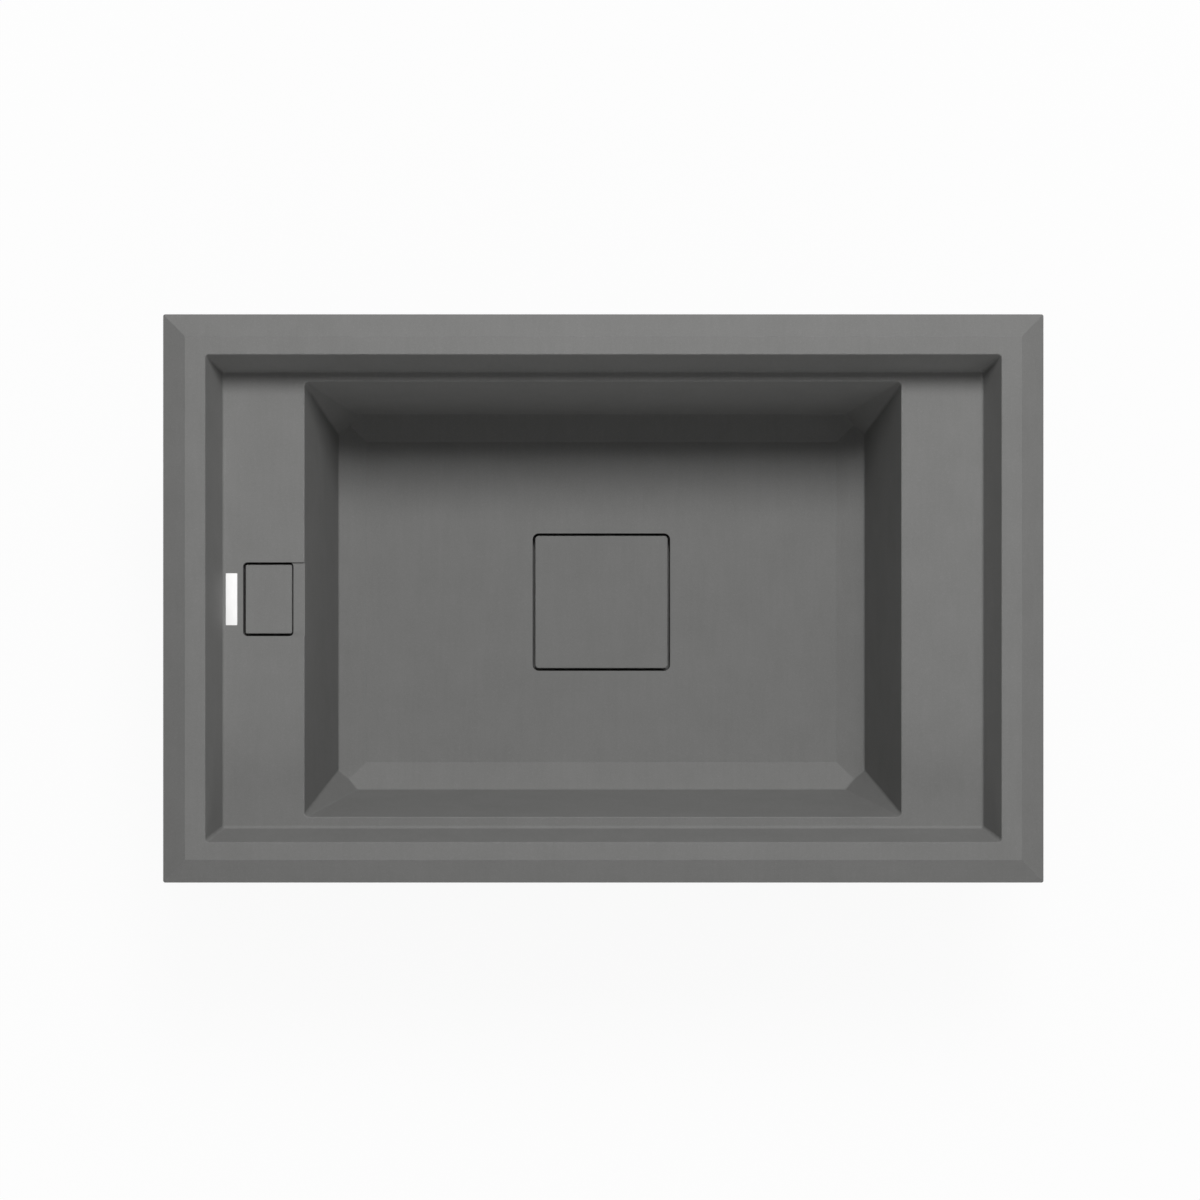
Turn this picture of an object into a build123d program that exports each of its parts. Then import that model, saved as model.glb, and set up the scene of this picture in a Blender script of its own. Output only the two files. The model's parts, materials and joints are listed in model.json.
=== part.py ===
from build123d import *

import os
from math import atan, degrees, pi, sqrt, tan

# An inset kitchen sink cast in quartz composite, with its waste, overflow and fixing clips.
# Millimetres, +Z up, +X along the sink. The origin is the middle of the rim's underside,
# which is the plane of the worktop.

# Rim and sunken tray
sink_length = 790
sink_width = 510
rim_corner_radius = 2
rim_edge_height = 3
rim_height = 13
rim_slope_run = 21.2
rim_width_at_ends = 39.3
rim_width_at_sides = 37.3
opening_corner_radius = 3
step_depth = 47
step_run = 8.6
deck_length = 74.5
ledge_width = 10.3
wall = 8.5
edge_round = 1.2

# Bowl: its corners are sharp at the top and open out into a flat facet at the foot
bowl_wall_depth = 148
bowl_wall_run = 15.3
bowl_corner_radius = 3
corner_flat_top = 1
corner_leg_foot = 19
band_width = 26.5
band_drop = 9

# Worktop that the sink is let into
rim_bearing = 10
worktop_thickness = 30

# Foam strip under the rim
seal_inset = 2
seal_width = 6
seal_depth = 1.5

# Waste recess in the bowl floor and its cover
cover_size = 130
cover_gap = 2.5
cover_corner_radius = 3.5
cover_thickness = 8
cover_round = 0.6
recess_depth = 20
cover_foot_width = 11
cover_foot_inset = 11
cover_pad_width = 9
cover_pad_thickness = 3

# Waste flange: a pressed cup with a shoulder that the basket hangs on
waste_hole_radius = 45
flange_radius = 57
flange_sheet = 1
cup_radius = 41
cup_depth = 39
shoulder_depth = 8
shoulder_width = 3
drain_slots = 6
drain_slot_width = 6
drain_slot_inner = 10.5
drain_slot_outer = 24
gasket_thickness = 1.5
gasket_width = 9
hole_clearance = 0.3

# Strainer basket
basket_sheet = 0.8
basket_clearance = 0.6
basket_depth = 14
basket_slots = 16
basket_slot_width = 2.6
basket_slot_inner = 11
wall_slot_height = 8
bush_radius = 6.5
bush_collar = 1.2

# Stopper that slides in the basket
stem_radius = 3
stem_clearance = 0.3
knob_radius = 9
knob_height = 6
knob_rim = 3
knob_top_depth = 0.5
stem_point = 3
stopper_seal_radius = 30
stopper_seal_lip = 2.5
stopper_seal_height = 7
stopper_seal_web = 2.5

# Waste body under the bowl
body_gasket_thickness = 3
body_gasket_width = 9
body_rim_radius = 56
body_rim_thickness = 4
body_bore_radius = 43.5
body_wall = 3
body_depth = 40
body_foot_bevel = 5
outlet_radius = 23.9
outlet_wall = 3.4
outlet_length = 29
outlet_flange_radius = 31
outlet_flange_thickness = 3
hub_radius = 8
hub_length = 18
hub_rib = 3
hub_ribs = 3
hub_rib_depth = 9
hub_rib_clearance = 0.3

# Centre screw of the waste
waste_screw_radius = 3
waste_screw_head_radius = 6.5
waste_screw_head = 4
waste_screw_socket_depth = 3.5
waste_nut_width = 10
waste_nut_height = 5
nut_clearance = 0.2

# Overflow recess in the left deck and its cover
overflow_cover_length = 42.4
overflow_cover_width = 62.8
overflow_to_bowl = 32.7
overflow_gap = 2.3
overflow_gap_bowl = 1.2
overflow_cover_thickness = 6
overflow_corner_radius = 1.6
overflow_recess_depth = 20
overflow_foot = 5
overflow_foot_inset = 1.5
notch_depth = 1.8
pocket_wall = 7

# Overflow tail and its fixing
overflow_hole_radius = 14
rose_radius = 18
rose_thickness = 1.6
rose_slots = 6
rose_slot_width = 4
rose_slot_inner = 6.5
rose_slot_outer = 13
overflow_gasket_thickness = 2.5
overflow_gasket_width = 6
tail_rim_radius = 21
tail_rim_thickness = 3
tail_length = 26
tail_bridge_width = 9
tail_bridge_depth = 14
overflow_screw_radius = 2.5
overflow_screw_head_radius = 4.5
overflow_screw_head = 2.2
overflow_screw_length = 19

# Screwed hose ends, the same on the tail and on the waste body
port_radius = 15
port_bore_radius = 10
port_length = 20
hose_seal_thickness = 2
hose_collar_thickness = 3
nut_thread_length = 9
nut_wall = 4
nut_shoulder = 2.5
nut_sides = 12

# Ribbed overflow hose
hose_bore_radius = 9
hose_valley_radius = 10.3
hose_crest_radius = 12
hose_bend_radius = 88
hose_cuff_length = 24
hose_rib_pitch = 13
hose_bore_steps = 9
hose_crest_share = 0.32
hose_slope_share = 0.16

# Fixing clips
clip_inset = 21
clip_spread = 460
lug_width = 24
lug_depth = 24
lug_root = 22
lug_clearance = 2
socket_width = 9
socket_clearance = 0.1
clip_screw_radius = 2.5
thread_clearance = 0.1
clip_screw_engagement = 10
clip_head_width = 8
clip_head_height = 4
clip_slot_width = 1.2
clip_climb = 14
claw_width = 14
claw_sheet = 2.5
claw_reach = 20
claw_heel = 7
claw_rise = 14
claw_heel_rise = 6
claw_bend = 1.5
claw_teeth = 3
claw_tooth_depth = 2

# Blank metal plate beside the overflow cover
badge_length = 10.5
badge_width = 47.5
badge_thickness = 1.2
badge_sunk = 0.4
badge_clearance = 0.15
badge_gap_to_step = 2.5
badge_corner_radius = 0.5

# Heights that follow
deck_z = rim_height - step_depth
floor_z = deck_z - bowl_wall_depth - band_drop
recess_floor_z = floor_z - recess_depth
recess_under_z = recess_floor_z - wall
flange_under_z = recess_floor_z + gasket_thickness
flange_top_z = flange_under_z + flange_sheet
shoulder_z = flange_top_z - shoulder_depth
cup_floor_z = flange_top_z - cup_depth
cup_under_z = cup_floor_z - flange_sheet
basket_under_z = shoulder_z - basket_depth
body_top_z = recess_under_z - body_gasket_thickness
body_foot_z = body_top_z - body_depth
outlet_foot_z = body_foot_z - outlet_flange_thickness - outlet_length
overflow_floor_z = deck_z - overflow_recess_depth
pocket_under_z = overflow_floor_z - pocket_wall
tail_top_z = pocket_under_z - overflow_gasket_thickness
tail_foot_z = tail_top_z - tail_length

# Sizes that follow
opening_length = sink_length - 2 * rim_width_at_ends
opening_width = sink_width - 2 * rim_width_at_sides
bowl_length = opening_length - 2 * (step_run + deck_length)
bowl_width = opening_width - 2 * (step_run + ledge_width)
bowl_edge_x = -bowl_length / 2
overflow_centre_x = bowl_edge_x - overflow_to_bowl
tray_foot_length = opening_length - 2 * step_run
tray_foot_width = opening_width - 2 * step_run
recess_size = cover_size + 2 * cover_gap
corner_leg_top = (corner_flat_top + 2 * bowl_corner_radius * tan(pi / 8)) / sqrt(2)
port_z = body_foot_z + port_radius + hole_clearance
clip_head_top_z = -(worktop_thickness + clip_climb + claw_rise)
clip_screw_top_z = clip_screw_engagement - lug_depth
socket_top_z = clip_screw_top_z + clip_climb + 1
cover_foot_place = cover_size / 2 - cover_foot_inset
over = 1


def rounded_plan(z, length, width, radius):
    """A rounded rectangle lying at height z."""
    with BuildSketch(Plane.XY.offset(z)) as plan:
        RectangleRounded(length, width, radius)
    return plan.sketch


def leaning_block(foot_z, top_z, foot_length, foot_width, run, depth):
    """A block whose four sides lean out by run over each depth of height."""
    with BuildPart() as block:
        with BuildSketch(Plane.XY.offset(foot_z)):
            Rectangle(foot_length, foot_width)
        extrude(amount=top_z - foot_z, taper=-degrees(atan(run / depth)))
    return block.part


def tray_form(foot_z, top_z, grow):
    """The tray with its sloping step wall, grown by grow all round."""
    outward = step_run * (foot_z - deck_z) / step_depth + grow
    return leaning_block(
        foot_z,
        top_z,
        tray_foot_length + 2 * outward,
        tray_foot_width + 2 * outward,
        step_run,
        step_depth,
    )


def bowl_form(grow):
    """The bowl from the deck down to its floor, grown by grow on every side."""
    foot_z = floor_z - grow
    inward = bowl_wall_run * (deck_z - foot_z) / bowl_wall_depth - grow
    facet_run = bowl_wall_run + (corner_leg_foot - corner_leg_top) / 2
    floor_x = bowl_length / 2 - bowl_wall_run - band_width
    floor_y = bowl_width / 2 - bowl_wall_run - band_width
    facet_x = (bowl_length - corner_leg_top) / 2
    facet_y = (bowl_width - corner_leg_top) / 2
    block = leaning_block(
        foot_z,
        deck_z + over,
        bowl_length - 2 * inward,
        bowl_width - 2 * inward,
        bowl_wall_run,
        bowl_wall_depth,
    )
    planes = []
    for side in (-1, 1):
        # the sloping planes round the floor
        planes.append(Plane((side * floor_x, 0, floor_z), z_dir=(side * band_drop, 0, -band_width)))
        planes.append(Plane((0, side * floor_y, floor_z), z_dir=(0, side * band_drop, -band_width)))
        # the flat facets of the corners, which widen with the depth
        for end in (-1, 1):
            planes.append(
                Plane(
                    (side * facet_x, end * facet_y, deck_z),
                    z_dir=(side * bowl_wall_depth, end * bowl_wall_depth, -2 * facet_run),
                )
            )
    with BuildPart() as form:
        add(block)
        for plane in planes:
            split(bisect_by=plane.offset(grow), keep=Keep.BOTTOM)
    return form.part


def ring(outer, inner, low_z, high_z):
    """A flat ring about the waste's axis."""
    with BuildPart() as washer:
        with BuildSketch(Plane.XY.offset(low_z)):
            Circle(outer)
            Circle(inner, mode=Mode.SUBTRACT)
        extrude(amount=high_z - low_z)
    return washer.part


def finish(part, name):
    """Names a finished piece and writes it."""
    part.label = name
    export_step(part, f"parts/{name}.step")


os.makedirs("parts", exist_ok=True)

# Where each clip stands: its local +X points out from the sink
clip_x = sink_length / 2 - clip_inset
clip_y = sink_width / 2 - clip_inset
clip_places = [
    Location((clip_x, 0, 0), (0, 0, 0)),
    Location((clip_spread / 2, clip_y, 0), (0, 0, 90)),
    Location((-clip_spread / 2, clip_y, 0), (0, 0, 90)),
    Location((-clip_x, 0, 0), (0, 0, 180)),
    Location((-clip_spread / 2, -clip_y, 0), (0, 0, 270)),
    Location((clip_spread / 2, -clip_y, 0), (0, 0, 270)),
]

# The overflow recess: open to the bowl over a shallow notch
overflow_recess_left = overflow_centre_x - overflow_cover_length / 2 - overflow_gap
overflow_recess_right = overflow_centre_x + overflow_cover_length / 2 + overflow_gap_bowl
overflow_recess_x = (overflow_recess_left + overflow_recess_right) / 2
overflow_recess_length = overflow_recess_right - overflow_recess_left
overflow_recess_width = overflow_cover_width + 2 * overflow_gap
badge_x = -tray_foot_length / 2 + badge_gap_to_step + badge_length / 2

# One lug under the rim, in a clip's own place
lug_outer = clip_inset - rim_bearing - lug_clearance
with BuildPart() as lug:
    with BuildSketch(Plane.XY.offset(-lug_depth)):
        with Locations((-lug_root, 0)):
            Rectangle(lug_root + lug_outer, lug_width, align=(Align.MIN, Align.CENTER))
    extrude(amount=lug_depth + over)
    fillet(lug.edges().filter_by(Axis.Z).group_by(Axis.X)[-1], edge_round)

# Hollow of the tray and of the bowl, with their corners and feet rounded
with BuildPart() as tray_hollow:
    add(tray_form(deck_z, rim_height + over, 0))
    tray_corners = tray_hollow.edges().filter_by_position(Axis.Z, deck_z, rim_height)
    fillet(tray_corners, opening_corner_radius)
with BuildPart() as bowl_hollow:
    add(bowl_form(0))
    bowl_corners = bowl_hollow.edges().filter_by_position(
        Axis.Z, floor_z, deck_z, inclusive=(False, False)
    )
    fillet(bowl_corners, bowl_corner_radius)
tray_outside = tray_form(deck_z - wall, over, wall)
bowl_outside = bowl_form(wall)

# Basin: one casting with rim, tray, bowl, recesses and lugs
with BuildPart() as basin:
    with BuildSketch():
        Rectangle(sink_length, sink_width)
    extrude(amount=rim_height)
    rim_top = basin.faces().sort_by(Axis.Z)[-1]
    chamfer(
        rim_top.edges(), rim_slope_run, length2=rim_height - rim_edge_height, reference=rim_top
    )
    fillet(basin.edges().filter_by(Axis.Z), rim_corner_radius)
    add(tray_outside)
    add(bowl_outside)
    # boss round the waste recess
    extrude(
        rounded_plan(
            recess_under_z,
            recess_size + 2 * wall,
            recess_size + 2 * wall,
            cover_corner_radius + cover_gap + wall,
        ),
        amount=recess_depth,
    )
    # pocket round the overflow recess
    with BuildSketch(Plane.XY.offset(pocket_under_z)):
        with Locations((overflow_recess_left - pocket_wall, 0)):
            Rectangle(
                bowl_edge_x - overflow_recess_left + pocket_wall,
                overflow_recess_width + 2 * pocket_wall,
                align=(Align.MIN, Align.CENTER),
            )
    extrude(amount=overflow_recess_depth)
    # lugs that carry the clips
    with Locations(clip_places):
        add(lug.part)
    add(tray_hollow.part, mode=Mode.SUBTRACT)
    add(bowl_hollow.part, mode=Mode.SUBTRACT)
    # rounded edges of the casting
    level_faces = basin.faces().filter_by(Axis.Z)
    rim_face = level_faces.sort_by(Axis.Z)[-1]
    fillet(rim_face.inner_wires()[0].edges(), edge_round)
    deck_face = level_faces.sort_by(lambda face: abs(face.center().Z - deck_z))[0]
    fillet(deck_face.inner_wires()[0].edges(), edge_round)
    # waste recess and hole
    extrude(
        rounded_plan(recess_floor_z, recess_size, recess_size, cover_corner_radius + cover_gap),
        amount=recess_depth + over,
        mode=Mode.SUBTRACT,
    )
    with BuildSketch(Plane.XY.offset(recess_under_z - over)):
        Circle(waste_hole_radius)
    extrude(amount=wall + 2 * over, mode=Mode.SUBTRACT)
    # overflow recess, its notch to the bowl and its hole
    with BuildSketch(Plane.XY.offset(overflow_floor_z)):
        with Locations((overflow_recess_x, 0)):
            RectangleRounded(
                overflow_recess_length, overflow_recess_width, overflow_corner_radius + overflow_gap
            )
    extrude(amount=overflow_recess_depth + over, mode=Mode.SUBTRACT)
    with BuildSketch(Plane.XY.offset(deck_z - notch_depth)):
        with Locations((overflow_recess_x, 0)):
            Rectangle(
                bowl_edge_x - overflow_recess_x + over,
                overflow_recess_width,
                align=(Align.MIN, Align.CENTER),
            )
    extrude(amount=notch_depth + over, mode=Mode.SUBTRACT)
    with BuildSketch(Plane.XY.offset(pocket_under_z - over)):
        with Locations((overflow_centre_x, 0)):
            Circle(overflow_hole_radius)
    extrude(amount=pocket_wall + 2 * over, mode=Mode.SUBTRACT)
    # pocket for the plate
    with BuildSketch(Plane.XY.offset(deck_z - badge_thickness - badge_sunk)):
        with Locations((badge_x, 0)):
            RectangleRounded(
                badge_length + 2 * badge_clearance,
                badge_width + 2 * badge_clearance,
                badge_corner_radius + badge_clearance,
            )
    extrude(amount=badge_thickness + badge_sunk + over, mode=Mode.SUBTRACT)
    # groove for the foam strip
    with BuildSketch(Plane.XY.offset(-over)):
        Rectangle(sink_length - 2 * seal_inset, sink_width - 2 * seal_inset)
        Rectangle(
            sink_length - 2 * (seal_inset + seal_width),
            sink_width - 2 * (seal_inset + seal_width),
            mode=Mode.SUBTRACT,
        )
    extrude(amount=seal_depth + over, mode=Mode.SUBTRACT)
    # pockets for the sockets
    with BuildSketch(Plane.XY.offset(-lug_depth - over)):
        with Locations(clip_places):
            RegularPolygon(socket_width / 2 + socket_clearance, 6, major_radius=False)
    extrude(amount=lug_depth + over + socket_top_z + socket_clearance, mode=Mode.SUBTRACT)
finish(basin.part, "basin")

# Foam strip under the rim
with BuildPart() as rim_seal:
    with BuildSketch():
        Rectangle(sink_length - 2 * seal_inset, sink_width - 2 * seal_inset)
        Rectangle(
            sink_length - 2 * (seal_inset + seal_width),
            sink_width - 2 * (seal_inset + seal_width),
            mode=Mode.SUBTRACT,
        )
    extrude(amount=seal_depth)
finish(rim_seal.part, "rim_seal")

# Blank plate
with BuildPart() as badge_plate:
    with BuildSketch(Plane.XY.offset(deck_z - badge_thickness - badge_sunk)):
        with Locations((badge_x, 0)):
            RectangleRounded(badge_length, badge_width, badge_corner_radius)
    extrude(amount=badge_thickness)
finish(badge_plate.part, "badge_plate")

# Waste cover with its four posts
with BuildPart() as waste_cover:
    extrude(
        rounded_plan(floor_z - cover_thickness, cover_size, cover_size, cover_corner_radius),
        amount=cover_thickness,
    )
    chamfer(waste_cover.faces().sort_by(Axis.Z)[-1].edges(), cover_round)
    with BuildSketch(Plane.XY.offset(recess_floor_z + cover_pad_thickness)):
        with GridLocations(2 * cover_foot_place, 2 * cover_foot_place, 2, 2):
            Rectangle(cover_foot_width, cover_foot_width)
    extrude(amount=recess_depth - cover_pad_thickness - cover_thickness + over)
finish(waste_cover.part, "waste_cover")

# Rubber pads under the posts
with BuildPart() as cover_feet:
    with BuildSketch(Plane.XY.offset(recess_floor_z)):
        with GridLocations(2 * cover_foot_place, 2 * cover_foot_place, 2, 2):
            Rectangle(cover_pad_width, cover_pad_width)
    extrude(amount=cover_pad_thickness)
finish(cover_feet.part, "cover_feet")

# Waste flange, pressed from sheet
with BuildPart() as waste_flange:
    with BuildSketch(Plane.XZ):
        with BuildLine():
            Polyline(
                (0, cup_floor_z),
                (cup_radius - shoulder_width, cup_floor_z),
                (cup_radius - shoulder_width, shoulder_z),
                (cup_radius, shoulder_z),
                (cup_radius, flange_top_z),
                (flange_radius, flange_top_z),
                (flange_radius, flange_under_z),
                (cup_radius + flange_sheet, flange_under_z),
                (cup_radius + flange_sheet, shoulder_z - flange_sheet),
                (cup_radius - shoulder_width + flange_sheet, shoulder_z - flange_sheet),
                (cup_radius - shoulder_width + flange_sheet, cup_under_z),
                (0, cup_under_z),
                close=True,
            )
        make_face()
    revolve(axis=Axis.Z)
    with BuildSketch(Plane.XY.offset(cup_under_z - over)):
        Circle(waste_screw_radius + hole_clearance)
        with PolarLocations((drain_slot_inner + drain_slot_outer) / 2, drain_slots):
            Rectangle(drain_slot_outer - drain_slot_inner, drain_slot_width)
    extrude(amount=flange_sheet + 2 * over, mode=Mode.SUBTRACT)
finish(waste_flange.part, "waste_flange")

finish(
    ring(
        flange_radius - over, flange_radius - over - gasket_width, recess_floor_z, flange_under_z
    ),
    "flange_gasket",
)

# Strainer basket, hung by its lip on the shoulder
basket_lip_radius = cup_radius - basket_clearance
basket_radius = cup_radius - shoulder_width - basket_clearance
basket_floor_z = basket_under_z + basket_sheet
with BuildPart() as strainer_basket:
    with BuildSketch(Plane.XZ):
        with BuildLine():
            Polyline(
                (bush_radius, basket_under_z),
                (basket_radius, basket_under_z),
                (basket_radius, shoulder_z),
                (basket_lip_radius, shoulder_z),
                (basket_lip_radius, shoulder_z + basket_sheet),
                (basket_radius - basket_sheet, shoulder_z + basket_sheet),
                (basket_radius - basket_sheet, basket_floor_z),
                (bush_radius, basket_floor_z),
                close=True,
            )
        make_face()
    revolve(axis=Axis.Z)
    # slots that run out over the floor and up the wall
    with BuildSketch(Plane.XY.offset(basket_under_z - over)):
        with PolarLocations((basket_slot_inner + basket_radius + over) / 2, basket_slots):
            Rectangle(basket_radius + over - basket_slot_inner, basket_slot_width)
    extrude(amount=wall_slot_height + over, mode=Mode.SUBTRACT)
finish(strainer_basket.part, "strainer_basket")

# Guide bush in the basket floor
with BuildPart() as basket_bush:
    add(
        ring(
            bush_radius,
            stem_radius + stem_clearance,
            basket_under_z - bush_collar,
            basket_floor_z + bush_collar,
        )
    )
finish(basket_bush.part, "basket_bush")

# Stopper: a knob on a stem whose point centres it in the waste screw's head
knob_top_z = flange_top_z - knob_top_depth
seal_top_z = cup_floor_z + stopper_seal_height
screw_head_top_z = cup_floor_z + waste_screw_head
with BuildPart() as stopper_knob:
    with BuildSketch(Plane.XZ):
        with BuildLine():
            Polyline(
                (0, knob_top_z),
                (knob_radius, knob_top_z),
                (knob_radius, knob_top_z - knob_rim),
                (stem_radius, knob_top_z - knob_height),
                (stem_radius, screw_head_top_z - stem_point),
                (0, screw_head_top_z - stem_point),
                close=True,
            )
        make_face()
    revolve(axis=Axis.Z)
finish(stopper_knob.part, "stopper_knob")

with BuildPart() as stopper_seal:
    with BuildSketch(Plane.XZ):
        with BuildLine():
            Polyline(
                (stem_radius, seal_top_z),
                (stopper_seal_radius, seal_top_z),
                (stopper_seal_radius, cup_floor_z),
                (stopper_seal_radius - stopper_seal_lip, cup_floor_z),
                (stopper_seal_radius - stopper_seal_lip, seal_top_z - stopper_seal_web),
                (stem_radius, seal_top_z - stopper_seal_web),
                close=True,
            )
        make_face()
    revolve(axis=Axis.Z)
finish(stopper_seal.part, "stopper_seal")

# Seal between the basin and the waste body
finish(
    ring(
        body_rim_radius - over,
        body_rim_radius - over - body_gasket_width,
        body_top_z,
        recess_under_z,
    ),
    "body_gasket",
)

# Waste body: cup, hub on ribs and the overflow port
body_radius = body_bore_radius + body_wall
outlet_bore_radius = outlet_radius - outlet_wall
hub_top_z = body_foot_z + body_wall
hub_foot_z = hub_top_z - hub_length
port_face_x = -(body_radius + port_length)
port_plane = Plane(origin=(port_face_x, 0, port_z), x_dir=(0, 1, 0), z_dir=(-1, 0, 0))
tail_plane = Plane(origin=(overflow_centre_x, 0, tail_foot_z), x_dir=(0, 1, 0), z_dir=(0, 0, -1))
with BuildPart() as waste_body:
    with BuildSketch(Plane.XZ):
        with BuildLine():
            Polyline(
                (0, body_top_z),
                (body_rim_radius, body_top_z),
                (body_rim_radius, body_top_z - body_rim_thickness),
                (body_radius, body_top_z - body_rim_thickness),
                (body_radius, body_foot_z + body_foot_bevel),
                (body_radius - body_foot_bevel, body_foot_z),
                (0, body_foot_z),
                close=True,
            )
        make_face()
    revolve(axis=Axis.Z)
    with BuildSketch(port_plane):
        Circle(port_radius)
    extrude(amount=-port_length - body_wall)
    with BuildSketch(port_plane):
        Circle(port_bore_radius)
    extrude(amount=-port_length - 2 * body_wall, mode=Mode.SUBTRACT)
    with BuildSketch(Plane.XY.offset(hub_top_z)):
        Circle(body_bore_radius)
    extrude(amount=body_depth, mode=Mode.SUBTRACT)
    with BuildSketch(Plane.XY.offset(body_foot_z - over)):
        Circle(outlet_bore_radius)
    extrude(amount=body_wall + 2 * over, mode=Mode.SUBTRACT)
    # hub on its ribs, with the bore for the screw and the pocket for the nut
    with BuildSketch(Plane.XY.offset(hub_foot_z)):
        Circle(hub_radius)
    extrude(amount=hub_length)
    with BuildSketch(Plane.XY.offset(hub_top_z)):
        with PolarLocations(0, hub_ribs):
            Rectangle(outlet_bore_radius + over, hub_rib, align=(Align.MIN, Align.CENTER))
    extrude(amount=-body_wall)
    with BuildSketch(Plane.XY.offset(body_foot_z)):
        with PolarLocations(0, hub_ribs):
            Rectangle(
                outlet_bore_radius - hub_rib_clearance, hub_rib, align=(Align.MIN, Align.CENTER)
            )
    extrude(amount=body_wall - hub_rib_depth)
    with BuildSketch(Plane.XY.offset(hub_foot_z - over)):
        Circle(waste_screw_radius + hole_clearance)
    extrude(amount=hub_length + 2 * over, mode=Mode.SUBTRACT)
    with BuildSketch(Plane.XY.offset(hub_foot_z - over)):
        RegularPolygon(waste_nut_width / 2 + nut_clearance, 6, major_radius=False)
    extrude(amount=waste_nut_height + over, mode=Mode.SUBTRACT)
finish(waste_body.part, "waste_body")

# Threaded outlet for the trap, welded under the waste body by its flange
with BuildPart() as outlet_spigot:
    with BuildSketch(Plane.XY.offset(outlet_foot_z)):
        Circle(outlet_radius)
    extrude(amount=outlet_length)
    with BuildSketch(Plane.XY.offset(outlet_foot_z + outlet_length)):
        Circle(outlet_flange_radius)
    extrude(amount=outlet_flange_thickness)
    with BuildSketch(Plane.XY.offset(outlet_foot_z - over)):
        Circle(outlet_bore_radius)
    extrude(amount=outlet_length + outlet_flange_thickness + 2 * over, mode=Mode.SUBTRACT)
finish(outlet_spigot.part, "outlet_spigot")

# Centre screw of the waste and the nut in the hub
with BuildPart() as waste_screw:
    with BuildSketch(Plane.XY.offset(cup_floor_z)):
        Circle(waste_screw_head_radius)
    extrude(amount=waste_screw_head)
    with BuildSketch(Plane.XY.offset(hub_foot_z - over)):
        Circle(waste_screw_radius)
    extrude(amount=cup_floor_z - hub_foot_z + over)
    with BuildSketch(Plane.XY.offset(screw_head_top_z - waste_screw_socket_depth)):
        Circle(stem_radius + stem_clearance)
    extrude(amount=waste_screw_socket_depth + over, mode=Mode.SUBTRACT)
finish(waste_screw.part, "waste_screw")

with BuildPart() as waste_nut:
    with BuildSketch(Plane.XY.offset(hub_foot_z)):
        RegularPolygon(waste_nut_width / 2, 6, major_radius=False)
        Circle(waste_screw_radius + thread_clearance, mode=Mode.SUBTRACT)
    extrude(amount=waste_nut_height)
finish(waste_nut.part, "waste_nut")

# Overflow cover on its four feet
foot_place_x = overflow_cover_length / 2 - overflow_foot_inset - overflow_foot / 2
foot_place_y = overflow_cover_width / 2 - overflow_foot_inset - overflow_foot / 2
with BuildPart() as overflow_cover:
    with BuildSketch(Plane.XY.offset(deck_z - overflow_cover_thickness)):
        with Locations((overflow_centre_x, 0)):
            RectangleRounded(overflow_cover_length, overflow_cover_width, overflow_corner_radius)
    extrude(amount=overflow_cover_thickness)
    chamfer(overflow_cover.faces().sort_by(Axis.Z)[-1].edges(), cover_round)
    with BuildSketch(Plane.XY.offset(overflow_floor_z)):
        with Locations((overflow_centre_x, 0)):
            with GridLocations(2 * foot_place_x, 2 * foot_place_y, 2, 2):
                Rectangle(overflow_foot, overflow_foot)
    extrude(amount=overflow_recess_depth - overflow_cover_thickness + over)
finish(overflow_cover.part, "overflow_cover")

# Slotted rose, its screw, the gasket and the tail under the overflow recess
rose_top_z = overflow_floor_z + rose_thickness
with BuildPart() as overflow_rose:
    with BuildSketch(Plane.XY.offset(overflow_floor_z)):
        with Locations((overflow_centre_x, 0)):
            Circle(rose_radius)
            Circle(overflow_screw_radius + hole_clearance, mode=Mode.SUBTRACT)
            with PolarLocations((rose_slot_inner + rose_slot_outer) / 2, rose_slots):
                Rectangle(rose_slot_outer - rose_slot_inner, rose_slot_width, mode=Mode.SUBTRACT)
    extrude(amount=rose_thickness)
finish(overflow_rose.part, "overflow_rose")

with BuildPart() as overflow_screw:
    with BuildSketch(Plane.XY.offset(rose_top_z)):
        with Locations((overflow_centre_x, 0)):
            Circle(overflow_screw_head_radius)
    extrude(amount=overflow_screw_head)
    with BuildSketch(Plane.XY.offset(rose_top_z)):
        with Locations((overflow_centre_x, 0)):
            Circle(overflow_screw_radius)
    extrude(amount=-overflow_screw_length)
    with BuildSketch(Plane.XY.offset(rose_top_z + overflow_screw_head / 2)):
        with Locations((overflow_centre_x, 0)):
            Rectangle(2 * overflow_screw_head_radius + over, clip_slot_width)
    extrude(amount=overflow_screw_head, mode=Mode.SUBTRACT)
finish(overflow_screw.part, "overflow_screw")

with BuildPart() as overflow_gasket:
    with BuildSketch(Plane.XY.offset(tail_top_z)):
        with Locations((overflow_centre_x, 0)):
            Circle(tail_rim_radius - over)
            Circle(tail_rim_radius - over - overflow_gasket_width, mode=Mode.SUBTRACT)
    extrude(amount=overflow_gasket_thickness)
finish(overflow_gasket.part, "overflow_gasket")

with BuildPart() as overflow_tail:
    with BuildSketch(tail_plane):
        Circle(port_radius)
    extrude(amount=-tail_length)
    with BuildSketch(Plane.XY.offset(tail_top_z - tail_rim_thickness)):
        with Locations((overflow_centre_x, 0)):
            Circle(tail_rim_radius)
    extrude(amount=tail_rim_thickness)
    with BuildSketch(tail_plane):
        Circle(port_bore_radius)
    extrude(amount=-tail_length - over, mode=Mode.SUBTRACT)
    # bridge across the bore, tapped for the screw
    with BuildSketch(Plane.XY.offset(tail_top_z - tail_bridge_depth)):
        with Locations((overflow_centre_x, 0)):
            Rectangle(2 * port_bore_radius + over, tail_bridge_width)
            Circle(overflow_screw_radius + thread_clearance, mode=Mode.SUBTRACT)
    extrude(amount=tail_bridge_depth)
finish(overflow_tail.part, "overflow_tail")

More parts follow.
